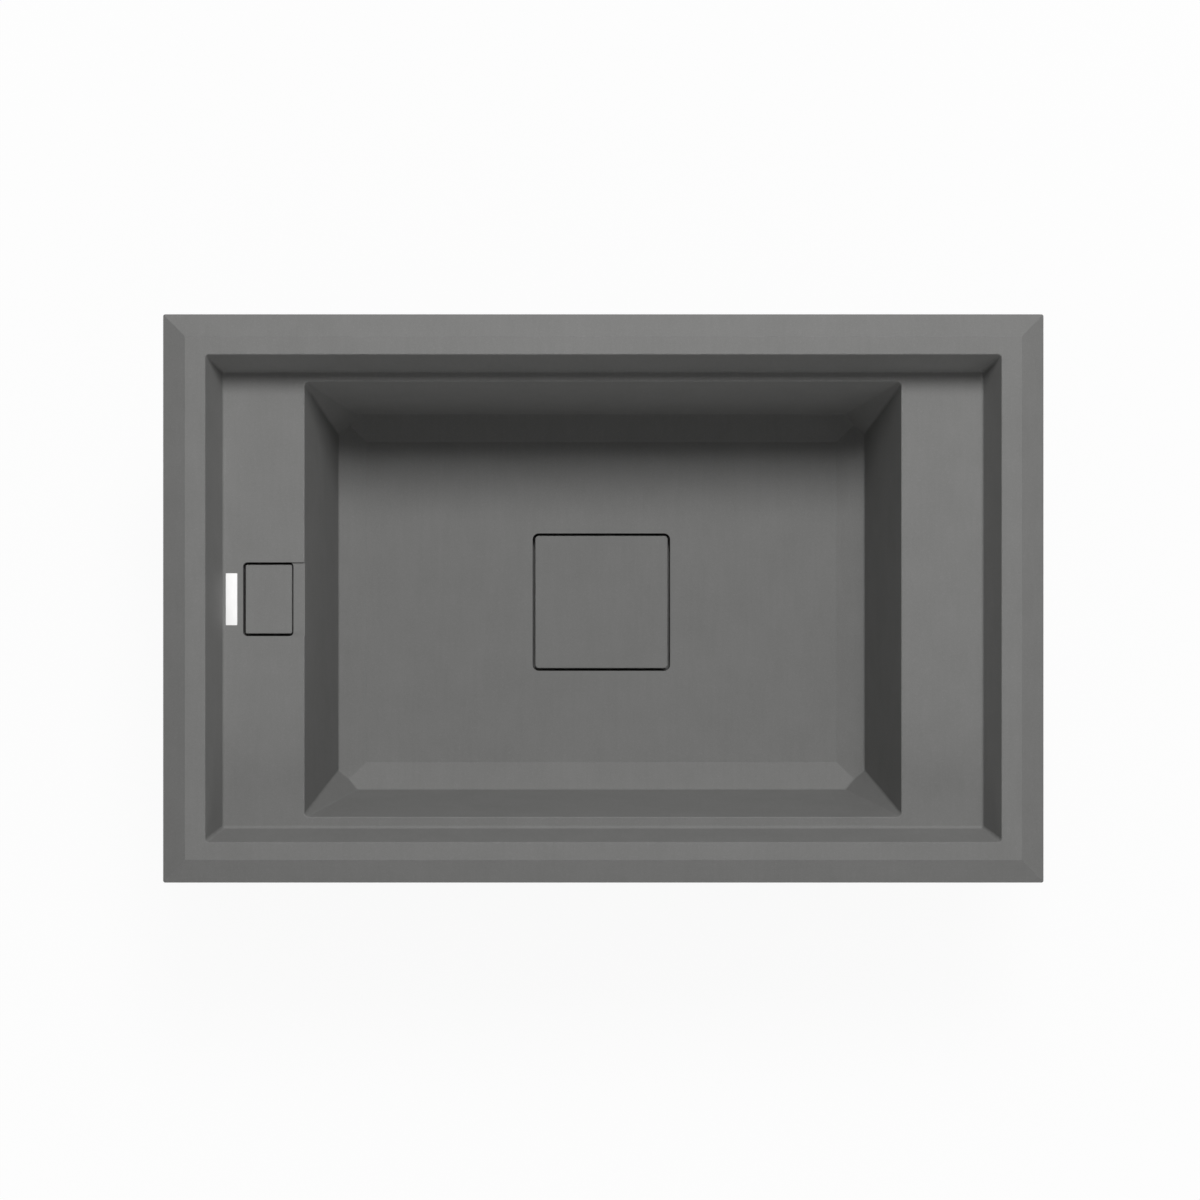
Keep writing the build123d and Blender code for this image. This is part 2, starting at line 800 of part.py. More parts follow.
# Coupling nut and flat seal at each end of the hose
hose_cuff_radius = hose_crest_radius - hole_clearance
hose_collar_radius = port_radius - hole_clearance
nut_bore_radius = port_radius + hole_clearance
nut_bore_length = nut_thread_length + hose_seal_thickness + hose_collar_thickness
with BuildPart() as hose_nuts:
    for end in (tail_plane, port_plane):
        with BuildSketch(end.offset(-nut_thread_length)):
            RegularPolygon(nut_bore_radius + nut_wall, nut_sides, major_radius=False)
        extrude(amount=nut_bore_length + nut_shoulder)
        with BuildSketch(end.offset(-nut_thread_length)):
            Circle(nut_bore_radius)
        extrude(amount=nut_bore_length, mode=Mode.SUBTRACT)
        with BuildSketch(end):
            Circle(hose_cuff_radius + hole_clearance)
        extrude(amount=hose_cuff_length, mode=Mode.SUBTRACT)
finish(hose_nuts.part, "hose_nuts")

with BuildPart() as hose_seals:
    for end in (tail_plane, port_plane):
        with BuildSketch(end):
            Circle(hose_collar_radius)
            Circle(port_bore_radius, mode=Mode.SUBTRACT)
        extrude(amount=hose_seal_thickness)
finish(hose_seals.part, "hose_seals")

# Ribbed hose: down beside the bowl, round one bend and under it to the waste body
hose_top_z = tail_foot_z - hose_seal_thickness
hose_end_x = port_face_x - hose_seal_thickness
with BuildLine(Plane.XZ) as hose_route:
    FilletPolyline(
        (overflow_centre_x, hose_top_z),
        (overflow_centre_x, port_z),
        (hose_end_x, port_z),
        radius=hose_bend_radius,
    )
hose_path = hose_route.wires()[0]
hose_length = hose_path.length
hose_ribs = round((hose_length - 2 * hose_cuff_length) / hose_rib_pitch)
hose_pitch = (hose_length - 2 * hose_cuff_length) / hose_ribs
hose_valley_share = 1 - hose_crest_share - 2 * hose_slope_share


def hose_circle(along, radius):
    """A circle square to the hose's route, at a length along it."""
    spot = hose_path.position_at(along / hose_length)
    ahead = hose_path.tangent_at(along / hose_length)
    with BuildSketch(Plane(origin=spot, x_dir=(0, 1, 0), z_dir=ahead)) as section:
        Circle(radius)
    return section.sketch


hose_sections = [
    hose_circle(0, hose_cuff_radius),
    hose_circle(hose_cuff_length, hose_cuff_radius),
]
for rib in range(hose_ribs):
    start = hose_cuff_length + rib * hose_pitch
    rise = start + hose_pitch * hose_valley_share / 2
    crest = rise + hose_pitch * hose_slope_share
    fall = crest + hose_pitch * hose_crest_share
    hose_sections.append(hose_circle(rise, hose_valley_radius))
    hose_sections.append(hose_circle(crest, hose_crest_radius))
    hose_sections.append(hose_circle(fall, hose_crest_radius))
    hose_sections.append(hose_circle(fall + hose_pitch * hose_slope_share, hose_valley_radius))
hose_sections.append(hose_circle(hose_length - hose_cuff_length, hose_cuff_radius))
hose_sections.append(hose_circle(hose_length, hose_cuff_radius))
hose_start = Plane(origin=hose_path @ 0, x_dir=(0, 1, 0), z_dir=hose_path % 0)
hose_finish = Plane(origin=hose_path @ 1, x_dir=(0, 1, 0), z_dir=hose_path % 1)

# the bore is straight to the bend and turns in short steps
bend_start = hose_top_z - port_z - hose_bend_radius
bend_length = hose_bend_radius * pi / 2
bore_sections = [hose_circle(0, hose_bore_radius)]
for step in range(hose_bore_steps + 1):
    along = bend_start + bend_length * step / hose_bore_steps
    bore_sections.append(hose_circle(along, hose_bore_radius))
bore_sections.append(hose_circle(hose_length, hose_bore_radius))

with BuildPart() as overflow_hose:
    loft(hose_sections, ruled=True)
    with BuildSketch(hose_start):
        Circle(hose_collar_radius)
    extrude(amount=hose_collar_thickness)
    with BuildSketch(hose_finish):
        Circle(hose_collar_radius)
    extrude(amount=-hose_collar_thickness)
    loft(bore_sections, ruled=True, mode=Mode.SUBTRACT)
finish(overflow_hose.part, "overflow_hose")
print("hose length", round(hose_length, 1), "ribs", hose_ribs)

# Threaded sockets cast into the lugs
with BuildPart() as clip_sockets:
    with BuildSketch(Plane.XY.offset(-lug_depth)):
        with Locations(clip_places):
            RegularPolygon(socket_width / 2, 6, major_radius=False)
            Circle(clip_screw_radius + thread_clearance, mode=Mode.SUBTRACT)
    extrude(amount=lug_depth + socket_top_z)
finish(clip_sockets.part, "clip_sockets")

# One fixing screw and one claw, in a clip's own place, with the claw tucked in
with BuildPart() as screw_form:
    with BuildSketch(Plane.XY.offset(clip_head_top_z - clip_head_height)):
        RegularPolygon(clip_head_width / 2, 6, major_radius=False)
    extrude(amount=clip_head_height)
    with BuildSketch(Plane.XY.offset(clip_head_top_z)):
        Circle(clip_screw_radius)
    extrude(amount=clip_screw_top_z - clip_head_top_z)
    with BuildSketch(Plane.XY.offset(clip_head_top_z - clip_head_height)):
        Rectangle(2 * clip_head_width, clip_slot_width)
    extrude(amount=clip_head_height / 2, mode=Mode.SUBTRACT)

claw_floor_z = clip_head_top_z + claw_sheet
claw_tip_z = clip_head_top_z + claw_rise
claw_heel_z = clip_head_top_z + claw_heel_rise
with BuildPart() as claw_form:
    with BuildSketch(Plane.YZ.offset(-claw_width / 2)) as claw_side:
        with BuildLine():
            Polyline(
                (claw_heel, claw_heel_z),
                (claw_heel, clip_head_top_z),
                (-claw_reach, clip_head_top_z),
                (-claw_reach, claw_tip_z),
                (claw_sheet - claw_reach, claw_tip_z),
                (claw_sheet - claw_reach, claw_floor_z),
                (claw_heel - claw_sheet, claw_floor_z),
                (claw_heel - claw_sheet, claw_heel_z),
                close=True,
            )
        make_face()
        chamfer(claw_side.vertices().group_by(Axis.Y)[0], claw_bend)
    extrude(amount=claw_width)
    with BuildSketch(Plane.XY.offset(clip_head_top_z - over)):
        Circle(clip_screw_radius + hole_clearance)
    extrude(amount=claw_sheet + 2 * over, mode=Mode.SUBTRACT)
    # notches between the teeth
    with BuildSketch(Plane.XZ.offset(claw_reach + over)):
        for notch in range(1, claw_teeth):
            middle = claw_width * (notch / claw_teeth - 0.5)
            with BuildLine():
                Polyline(
                    (middle, claw_tip_z - claw_tooth_depth),
                    (middle + claw_tooth_depth, claw_tip_z + over / 2),
                    (middle - claw_tooth_depth, claw_tip_z + over / 2),
                    close=True,
                )
            make_face()
    extrude(amount=-claw_sheet - 2 * over, mode=Mode.SUBTRACT)

for number, place in enumerate(clip_places, start=1):
    with BuildPart() as clip_screw:
        with Locations(place):
            add(screw_form.part)
    finish(clip_screw.part, f"clip_screw_{number}")
    with BuildPart() as claw:
        with Locations(place):
            add(claw_form.part)
    finish(claw.part, f"claw_{number}")
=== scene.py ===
import json
from math import asin, cos, pi, radians, sin, tan, tau

import bmesh
import bpy
from mathutils import Matrix, Vector

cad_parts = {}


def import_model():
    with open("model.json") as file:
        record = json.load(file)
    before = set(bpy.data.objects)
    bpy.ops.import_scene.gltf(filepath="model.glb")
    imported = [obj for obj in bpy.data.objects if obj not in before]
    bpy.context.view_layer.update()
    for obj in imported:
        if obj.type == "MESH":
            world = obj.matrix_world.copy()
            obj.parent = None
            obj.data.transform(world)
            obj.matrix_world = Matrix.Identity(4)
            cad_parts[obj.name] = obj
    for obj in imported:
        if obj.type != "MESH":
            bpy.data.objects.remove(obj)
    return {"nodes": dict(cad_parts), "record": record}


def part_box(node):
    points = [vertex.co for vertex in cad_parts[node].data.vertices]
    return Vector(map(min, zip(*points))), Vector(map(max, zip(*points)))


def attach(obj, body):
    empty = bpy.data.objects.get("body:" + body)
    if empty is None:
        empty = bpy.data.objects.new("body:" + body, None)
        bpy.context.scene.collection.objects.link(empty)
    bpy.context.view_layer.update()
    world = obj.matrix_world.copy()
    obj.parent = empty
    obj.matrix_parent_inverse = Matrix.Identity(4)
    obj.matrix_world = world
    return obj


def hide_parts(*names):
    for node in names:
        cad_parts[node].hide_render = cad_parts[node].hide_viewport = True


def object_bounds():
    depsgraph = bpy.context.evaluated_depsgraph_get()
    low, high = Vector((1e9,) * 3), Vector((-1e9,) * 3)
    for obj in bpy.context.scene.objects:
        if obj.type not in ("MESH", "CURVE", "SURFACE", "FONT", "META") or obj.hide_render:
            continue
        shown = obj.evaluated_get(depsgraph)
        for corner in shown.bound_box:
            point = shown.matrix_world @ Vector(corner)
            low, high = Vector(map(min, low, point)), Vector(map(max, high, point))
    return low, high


# The finished look of an inset composite sink: cast bowl and covers, pressed steel waste,
# moulded waste body, ribbed overflow hose and steel fixing clips.
# Metres, in the frame of the CAD model: +Z up, origin in the plane of the worktop.

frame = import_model()
cad_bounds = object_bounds()
cad_nodes = frame["nodes"]
MM = 0.001


# ---- Shader maths ----
class Value:
    """A socket of a node tree, to reckon with."""

    def __init__(self, nodes, socket):
        self.nodes, self.socket = nodes, socket

    def _math(self, operation, first, second=0.0):
        settings = {"operation": operation}
        return self.nodes.node("ShaderNodeMath", settings, {0: first, 1: second})

    def __add__(self, other):
        return self._math("ADD", self, other)

    def __sub__(self, other):
        return self._math("SUBTRACT", self, other)

    def __rsub__(self, other):
        return self._math("SUBTRACT", other, self)

    def __mul__(self, other):
        return self._math("MULTIPLY", self, other)

    def __truediv__(self, other):
        return self._math("DIVIDE", self, other)

    def __rtruediv__(self, other):
        return self._math("DIVIDE", other, self)

    def __pow__(self, other):
        return self._math("POWER", self, other)

    def __rpow__(self, other):
        return self._math("POWER", other, self)

    def __gt__(self, other):
        return self._math("GREATER_THAN", self, other)

    def __lt__(self, other):
        return self._math("LESS_THAN", self, other)

    __radd__ = __add__
    __rmul__ = __mul__

    def most(self, other):
        """The larger of two values."""
        return self._math("MAXIMUM", self, other)


class Nodes:
    """A tree of nodes, built one call at a time."""

    def __init__(self, owner):
        owner.use_nodes = True
        self.tree = owner.node_tree

    def node(self, kind, settings=(), sockets=(), output=0):
        """Adds a node: its settings first, then the values or links of its sockets."""
        made = self.tree.nodes.new(kind)
        for key, value in dict(settings).items():
            if key == "stops":
                while len(made.color_ramp.elements) < len(value):
                    made.color_ramp.elements.new(0.5)
                for stop, (place, level) in zip(made.color_ramp.elements, value):
                    stop.position, stop.color = place, (level, level, level, 1)
            else:
                setattr(made, key, value)
        for key, value in dict(sockets).items():
            self.join(value, made.inputs[key])
        return Value(self, made.outputs[output])

    def join(self, value, socket):
        """Links a value to a socket, or sets the socket to it."""
        if isinstance(value, Value):
            self.tree.links.new(value.socket, socket)
        else:
            socket.default_value = value

    def ramp(self, value, *stops):
        """A number led through (place, level) stops."""
        return self.node("ShaderNodeValToRGB", {"stops": stops}, {0: value})

    def white_rays(self):
        """One for what the camera sees, directly, mirrored or through glass."""
        camera, glossy, through = (
            self.node("ShaderNodeLightPath", output=f"Is {ray} Ray")
            for ray in ("Camera", "Glossy", "Transmission")
        )
        return camera.most(glossy).most(through)


class Finish(Nodes):
    """A material built round one shader."""

    def __init__(self, name, **even):
        self.material = bpy.data.materials.new(name)
        super().__init__(self.material)
        self.shader = self.tree.nodes["Principled BSDF"]
        for socket, value in even.items():
            self.shader.inputs[socket.replace("_", " ")].default_value = value

    def feed(self, socket, value):
        """Gives the shader something that changes over the surface."""
        self.join(value, self.shader.inputs[socket])

    def place(self):
        """The point on the piece, in its own frame."""
        return self.node("ShaderNodeTexCoord", output="Object")

    def parts(self, vector):
        """The three numbers of a vector."""
        split = self.node("ShaderNodeSeparateXYZ", {}, {0: vector}).socket.node
        return [Value(self, split.outputs[n]) for n in range(3)]

    def joined(self, x, y, z):
        """A vector of three numbers."""
        return self.node("ShaderNodeCombineXYZ", {}, {0: x, 1: y, 2: z})

    def stretched(self, vector, factors):
        """A vector multiplied part by part, which makes streaks of even noise."""
        return self.node(
            "ShaderNodeVectorMath", {"operation": "MULTIPLY"}, {0: vector, 1: factors}
        )

    def noise(self, vector, scale, detail=2.0, roughness=0.5):
        """Soft noise round 0.5 with its features about 1 / scale across."""
        return self.node(
            "ShaderNodeTexNoise",
            {},
            {"Vector": vector, "Scale": scale, "Detail": detail, "Roughness": roughness},
        )

    def cells(self, vector, scale):
        """A random number for each grain, about 1 / scale across."""
        colour = self.node(
            "ShaderNodeTexVoronoi", {}, {"Vector": vector, "Scale": scale}, output="Color"
        )
        return self.parts(colour)[0]

    def mixed(self, factor, first, second):
        """A colour between two colours."""
        return self.node(
            "ShaderNodeMix", {"data_type": "RGBA"}, {0: factor, 6: first, 7: second}, output=2
        )

    def bump(self, height, depth, strength=1.0):
        """Fine relief of the given depth in metres."""
        relief = self.node(
            "ShaderNodeBump", {}, {"Strength": strength, "Distance": depth, "Height": height}
        )
        self.feed("Normal", relief)


def grey(level, warm=0.0):
    """A near-grey colour, a little warm or cool."""
    return (level * (1 + warm), level, level * (1 - warm), 1)


# ---- Finishes ----
def cast_composite():
    """Matt quartz composite: smooth and even inside, open-grained where the mould leaves it."""
    finish = Finish("cast_composite", IOR=1.45, Specular_IOR_Level=0.25)
    dark, light = (0.188, 0.188, 0.184, 1), (0.232, 0.232, 0.228, 1)
    place = finish.place()
    # One on what looks down: the underside, and the outer walls, which lean in.
    upright = -0.02
    outside = finish.parts(finish.node("ShaderNodeTexCoord", output="Normal"))[2] < upright
    grains = finish.cells(place, 1700)
    specks = finish.ramp(finish.cells(place, 900), (0.9, 0.0), (0.96, 1.0))
    streaks = finish.noise(finish.stretched(place, (260, 26, 60)), 1.0, 3.0)
    clouds = finish.noise(place, 28, 3.0)
    patches = finish.noise(place, 11, 4.0)
    # On the whole halfway from dark to light, and a little lighter outside.
    tone = 0.4 * grains + 0.35 * streaks + 0.6 * clouds - 0.17
    tone = tone + 0.22 * specks + outside * (1.2 * patches + 0.8 * grains - 0.75)
    finish.feed("Base Color", finish.mixed(tone, dark, light))
    finish.feed("Roughness", 0.68 + 0.1 * grains + 0.12 * outside)
    pits = finish.noise(place, 420, 4.0, 0.65)
    finish.bump(grains + 0.7 * finish.noise(place, 700) + 7.0 * outside * pits, 0.03 * MM, 0.5)
    return finish.material


def brushed_steel(name, level, roughness, round_about=None, warm=0.005):
    """Steel with fine brush lines, straight along Y or round an upright axis."""
    finish = Finish(name, Metallic=1.0)
    place = finish.place()
    if round_about is None:
        lines = finish.noise(finish.stretched(place, (9000, 180, 9000)), 1.0, 2.0)
    else:
        x, y, z = finish.parts(place)
        x, y = x - round_about[0], y - round_about[1]
        radius = (x * x + y * y) ** 0.5
        lines = finish.noise(finish.joined(radius * 5200, z * 5200, 0.0), 1.0, 2.0)
    clouds = finish.noise(place, 60, 3.0)
    dark, light = grey(level * 0.88, warm), grey(level, warm)
    finish.feed("Base Color", finish.mixed(0.7 * lines + 0.5 * clouds - 0.1, dark, light))
    finish.feed("Roughness", roughness + 0.14 * lines + 0.06 * clouds - 0.1)
    finish.bump(lines, 0.008 * MM, 0.5)
    return finish.material


def zinc_plated():
    """Bright zinc on the claws, faintly mottled."""
    finish = Finish("zinc_plated", Metallic=1.0)
    dark, light = (0.5, 0.51, 0.53, 1), (0.68, 0.69, 0.7, 1)
    place = finish.place()
    flakes = finish.cells(place, 900)
    clouds = finish.noise(place, 220, 3.0)
    finish.feed("Base Color", finish.mixed(0.5 * flakes + 0.6 * clouds, dark, light))
    finish.feed("Roughness", 0.26 + 0.16 * flakes + 0.1 * clouds)
    finish.bump(clouds, 0.02 * MM, 0.4)
    return finish.material


def machined_brass():
    """Brass with the fine rings that turning leaves."""
    finish = Finish("machined_brass", Metallic=1.0)
    dark, light = (0.6, 0.43, 0.19, 1), (0.82, 0.64, 0.32, 1)
    place = finish.place()
    lines = finish.noise(finish.stretched(place, (300, 300, 7000)), 1.0, 2.0)
    stain = finish.noise(place, 160, 3.0)
    finish.feed("Base Color", finish.mixed(stain, dark, light))
    finish.feed("Roughness", 0.22 + 0.2 * lines)
    finish.bump(lines, 0.01 * MM, 0.5)
    return finish.material


def black_rubber():
    """Black seal rubber with a greyish bloom."""
    finish = Finish("black_rubber", IOR=1.5, Specular_IOR_Level=0.35)
    place = finish.place()
    bloom = finish.noise(place, 90, 4.0)
    grit = finish.noise(place, 2600)
    finish.feed("Base Color", finish.mixed(bloom, grey(0.018), grey(0.042, 0.02)))
    finish.feed("Roughness", 0.66 + 0.2 * bloom)
    finish.bump(grit, 0.03 * MM, 0.5)
    return finish.material


def foam_strip():
    """Closed-cell foam under the rim."""
    finish = Finish("foam_strip", IOR=1.45, Specular_IOR_Level=0.2)
    place = finish.place()
    pores = finish.node(
        "ShaderNodeTexVoronoi", {}, {"Vector": place, "Scale": 1500.0}, output="Distance"
    )
    finish.feed("Base Color", finish.mixed(pores, grey(0.03), grey(0.075, -0.02)))
    finish.feed("Roughness", 0.78 + 0.14 * pores)
    finish.bump(pores, 0.2 * MM, 0.7)
    return finish.material


def moulded_plastic(name, dark, light, roughness, warm=-0.01):
    """Moulded plastic with the faint spark texture of its mould."""
    finish = Finish(name, IOR=1.49, Specular_IOR_Level=0.4)
    place = finish.place()
    spark = finish.noise(place, 2300)
    flow = finish.noise(finish.stretched(place, (30, 30, 90)), 1.0, 3.0)
    finish.feed("Base Color", finish.mixed(flow, grey(dark, warm), grey(light, warm)))
    finish.feed("Roughness", roughness + 0.12 * spark + 0.1 * flow - 0.1)
    finish.bump(spark, 0.025 * MM, 0.5)
    return finish.material


tail_low, tail_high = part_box("overflow_tail")
overflow_axis = ((tail_low.x + tail_high.x) / 2, 0.0)
composite = cast_composite()
plate_steel = brushed_steel("plate_steel", 0.76, 0.4)
waste_steel = brushed_steel("waste_steel", 0.7, 0.3, (0.0, 0.0))
rose_steel = brushed_steel("rose_steel", 0.7, 0.3, overflow_axis)
screw_steel = brushed_steel("screw_steel", 0.62, 0.32)
zinc = zinc_plated()
brass = machined_brass()
rubber = black_rubber()
foam = foam_strip()
black_plastic = moulded_plastic("black_plastic", 0.028, 0.042, 0.42)
hose_plastic = moulded_plastic("hose_plastic", 0.47, 0.56, 0.4, -0.015)

slot_finishes = {
    "composite": composite,
    "plate_steel": plate_steel,
    "waste_steel": waste_steel,
    "knob_steel": waste_steel,
    "screw_steel": screw_steel,
    "claw_steel": zinc,
    "brass": brass,
    "seal_rubber": rubber,
    "foam_strip": foam,
    "waste_plastic": black_plastic,
    "hose_plastic": hose_plastic,
}
slot_of = {part["node"]: part["material_slot"] for part in frame["record"]["subparts"]}
for name, node in cad_nodes.items():
    finish = slot_finishes[slot_of[name]]
    if name == "overflow_rose":
        finish = rose_steel  # brushed round its own axis
    node.data.materials.clear()
    node.data.materials.append(finish)


# ---- Shapes ----
def rounded(corners, radius, steps=4, closed=True):
    """An outline with its corners rounded; a corner may name its own radius."""
    most = 0.48  # the share of an edge that one corner may take
    points = []
    for number, corner in enumerate(corners):
        here = Vector(corner[:2])
        bend = corner[2] if len(corner) > 2 else radius
        if bend == 0 or (not closed and number in (0, len(corners) - 1)):
            points.append(here)
            continue
        back = Vector(corners[number - 1][:2]) - here
        ahead = Vector(corners[(number + 1) % len(corners)][:2]) - here
        run = min(bend / tan(back.angle(ahead) / 2), most * back.length, most * ahead.length)
        start, end = here + back.normalized() * run, here + ahead.normalized() * run
        for step in range(steps + 1):
            share = step / steps
            points.append(
                start * (1 - share) ** 2 + here * (2 * share * (1 - share)) + end * share**2
            )
    return [tuple(point) for point in points]


def rings_to_faces(rings, closed):
    """Faces between neighbouring rings of vertex numbers; a ring of one is a pole."""
    faces = []
    following = rings[1:] + (rings[:1] if closed else [])
    for first, second in zip(rings, following):
        for step in range(max(len(first), len(second))):
            corners = [
                first[step % len(first)],
                first[(step + 1) % len(first)],
                second[(step + 1) % len(second)],
                second[step % len(second)],
            ]
            faces.append(list(dict.fromkeys(corners)))
    return faces


def turned(outline, segments=96, closed=True, ripple=None):
    """An outline of (radius, height) turned about the upright axis, with a ripple laid on."""
    on_axis = 0.0001 * MM
    points, rings = [], []
    for radius, height in outline:
        turns = 1 if radius < on_axis else segments
        rings.append(list(range(len(points), len(points) + turns)))
        for step in range(turns):
            angle = tau * step / segments
            reach = radius + (ripple(radius, height, angle) if ripple and turns > 1 else 0)
            points.append((reach * cos(angle), reach * sin(angle), height))
    return points, rings_to_faces(rings, closed)


def placed(shape, place):
    """A shape set at its place."""
    points, faces = shape
    return [place @ Vector(point) for point in points], faces


def together(shapes):
    """Several shapes as one."""
    points, faces = [], []
    for some_points, some_faces in shapes:
        first = len(points)
        points += some_points
        faces += [[first + corner for corner in face] for face in some_faces]
    return points, faces


def piece(name, shape, finish, body, replaced=(), crease=32):
    """Makes a piece of the object; edges that bend more than crease, in degrees, are sharp."""
    points, faces = shape
    mesh = bpy.data.meshes.new(name)
    mesh.from_pydata([tuple(point) for point in points], [], faces)
    mesh.materials.append(finish)
    form = bmesh.new()
    form.from_mesh(mesh)
    bmesh.ops.recalc_face_normals(form, faces=form.faces)
    form.to_mesh(mesh)
    form.free()
    mesh.shade_smooth()
    mesh.set_sharp_from_angle(angle=radians(crease))
    made = bpy.data.objects.new(name, mesh)
    bpy.context.scene.collection.objects.link(made)
    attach(made, body)
    if replaced:
        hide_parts(*replaced)
    return made


# ---- Overflow hose: down from the tail, round one bend, along to the waste body ----
hose_low, hose_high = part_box("overflow_hose")
hose_collar = 14.7 * MM
hose_cuff = 11.7 * MM
hose_valley = 10.3 * MM
hose_crest = 12 * MM
hose_bore = 9 * MM
hose_bend = 88 * MM
hose_cuff_length = 24 * MM
hose_collar_length = 3 * MM
hose_collar_edge = 0.3 * MM, 0.4 * MM
hose_ribs, rib_steps = 24, 10
rib_fullness = 1.35
bore_rings = 48
hose_drop_x = hose_low.x + hose_collar
hose_run_z = hose_low.z + hose_collar
hose_drop = hose_high.z - hose_run_z - hose_bend
hose_arc = hose_bend * pi / 2
hose_run = hose_high.x - hose_drop_x - hose_bend
hose_length = hose_drop + hose_arc + hose_run


def hose_spot(along):
    """The middle of the hose and its direction, at a length along it."""
    if along <= hose_drop:
        return Vector((hose_drop_x, 0, hose_high.z - along)), Vector((0, 0, -1))
    if along >= hose_drop + hose_arc:
        reach = hose_drop_x + hose_bend + along - hose_drop - hose_arc
        return Vector((reach, 0, hose_run_z)), Vector((1, 0, 0))
    turn = (along - hose_drop) / hose_bend
    centre = Vector((hose_drop_x + hose_bend, 0, hose_run_z + hose_bend))
    return (
        centre + Vector((-cos(turn), 0, -sin(turn))) * hose_bend,
        Vector((sin(turn), 0, -cos(turn))),
    )


def hose_end():
    """Collar and cuff of one end: length from its face, and radius."""
    edge_length, edge_depth = hose_collar_edge
    return [
        (0, hose_collar - edge_depth),
        (edge_length, hose_collar),
        (hose_collar_length - edge_length, hose_collar),
        (hose_collar_length, hose_collar - edge_depth),
        (hose_collar_length, hose_cuff),
        (hose_cuff_length - 1 * MM, hose_cuff),
    ]


def hose_outline():
    """Length along the hose and radius: one end, round ribs, the other end, the bore."""
    pitch = (hose_length - 2 * hose_cuff_length) / hose_ribs
    outline = hose_end()
    for rib in range(hose_ribs):
        for step in range(rib_steps):
            share = step / rib_steps
            swell = min(1.0, rib_fullness * (0.5 - 0.5 * cos(tau * share)))
            radius = hose_valley + (hose_crest - hose_valley) * swell
            outline.append((hose_cuff_length + (rib + share) * pitch, radius))
    outline.append((hose_length - hose_cuff_length, hose_valley))
    outline += [(hose_length - along, radius) for along, radius in hose_end()[::-1]]
    outline += [
        (hose_length * (1 - step / bore_rings), hose_bore) for step in range(bore_rings + 1)
    ]
    return outline


def swept_hose(segments=56):
    """The outline of the hose, carried round its middle line."""
    points, rings = [], []
    for along, radius in hose_outline():
        spot, ahead = hose_spot(along)
        side = Vector((0, 1, 0))
        up = ahead.cross(side)
        rings.append(list(range(len(points), len(points) + segments)))
        for step in range(segments):
            angle = tau * step / segments
            points.append(spot + (side * cos(angle) + up * sin(angle)) * radius)
    return points, rings_to_faces(rings, True)


piece("ribbed_hose", swept_hose(), hose_plastic, "sink", ["overflow_hose"])


# ---- Sheet metal: middle surfaces with slots, thickened and rounded ----
def slotted_sheet(outline, slots, slot_width, is_open, between):
    """A turned sheet, outline from rim to centre, with parallel-sided slots left open.

    Each sector has its slot and as many strips of sheet as between says; is_open tells, from
    radius and height, where along the outline the slots are.
    """
    sector = tau / slots
    widest = 0.4 * sector  # of half a slot, near the centre
    points, rings = [], []
    columns = between + 1
    for radius, height in outline:
        half = min(asin(min(1.0, slot_width / 2 / radius)), widest)
        rings.append(list(range(len(points), len(points) + slots * columns)))
        for number in range(slots * columns):
            turn, column = divmod(number, columns)
            angle = turn * sector - half
            if column:
                angle += 2 * half + (column - 1) * (sector - 2 * half) / between
            points.append((radius * cos(angle), radius * sin(angle), height))
    faces = []
    for row, (first, second) in enumerate(zip(rings, rings[1:])):
        middle = [(outline[row][axis] + outline[row + 1][axis]) / 2 for axis in (0, 1)]
        for number in range(slots * columns):
            if number % columns == 0 and is_open(*middle):
                continue
            after = (number + 1) % (slots * columns)
            faces.append([first[number], first[after], second[after], second[number]])
    return points, faces


def pressed(name, shape, sheet, finish, body, replaced):
    """A piece of pressed sheet: its middle surface made thick, then its edges softened."""
    made = piece(name, shape, finish, body, replaced, crease=180)
    thick = made.modifiers.new("sheet", "SOLIDIFY")
    thick.thickness, thick.offset, thick.use_even_offset = sheet, 0.0, True
    soft = made.modifiers.new("soft_edges", "SUBSURF")
    soft.levels = soft.render_levels = 1
    return made


def bend_line(corners, radius, steps=3):
    """An open outline with its bends rounded and held straight between them."""
    held, hold, long = [], 0.6 * MM, 4 * MM
    outline = rounded(corners, radius, steps, closed=False)
    for here, after in zip(outline, outline[1:]):
        run = Vector(after) - Vector(here)
        held.append(here)
        if run.length > long:
            for share in (hold / run.length, 1 - hold / run.length):
                held.append(tuple(Vector(here) + run * share))
    return held + [outline[-1]]


# ---- Waste: pressed flange, strainer basket, knob and seal ----
# Outlines run from the rim to the centre; a third number is the radius of that bend.
flange_low, flange_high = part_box("waste_flange")
flange_sheet = 1 * MM
flange_middle = flange_high.z - flange_sheet / 2
flange_floor = flange_low.z + flange_sheet / 2
shoulder_middle = flange_middle - 8 * MM
cup_radius, shoulder_radius = 41.5 * MM, 38.5 * MM
drain_outer, drain_inner = 24 * MM, 10.5 * MM
screw_seat, screw_hole = 6.8 * MM, 3.3 * MM
flange_outline = bend_line(
    [
        (flange_high.x - 0.5 * MM, flange_middle),
        (cup_radius, flange_middle, 1.6 * MM),
        (cup_radius, shoulder_middle, 0.7 * MM),
        (shoulder_radius, shoulder_middle, 0.9 * MM),
        (shoulder_radius, flange_floor, 2.2 * MM),
        (drain_outer, flange_floor, 0),
        (drain_inner, flange_floor, 0),
        (screw_seat, flange_floor, 0),
        (screw_hole, flange_floor),
    ],
    1 * MM,
)


def in_drain(radius, height):
    """Where the flange has its drain slots."""
    return drain_inner < radius < drain_outer and height < flange_floor + 0.1 * MM


pressed(
    "pressed_flange",
    slotted_sheet(flange_outline, 6, 6 * MM, in_drain, 9),
    flange_sheet,
    waste_steel,
    "sink",
    ["waste_flange"],
)

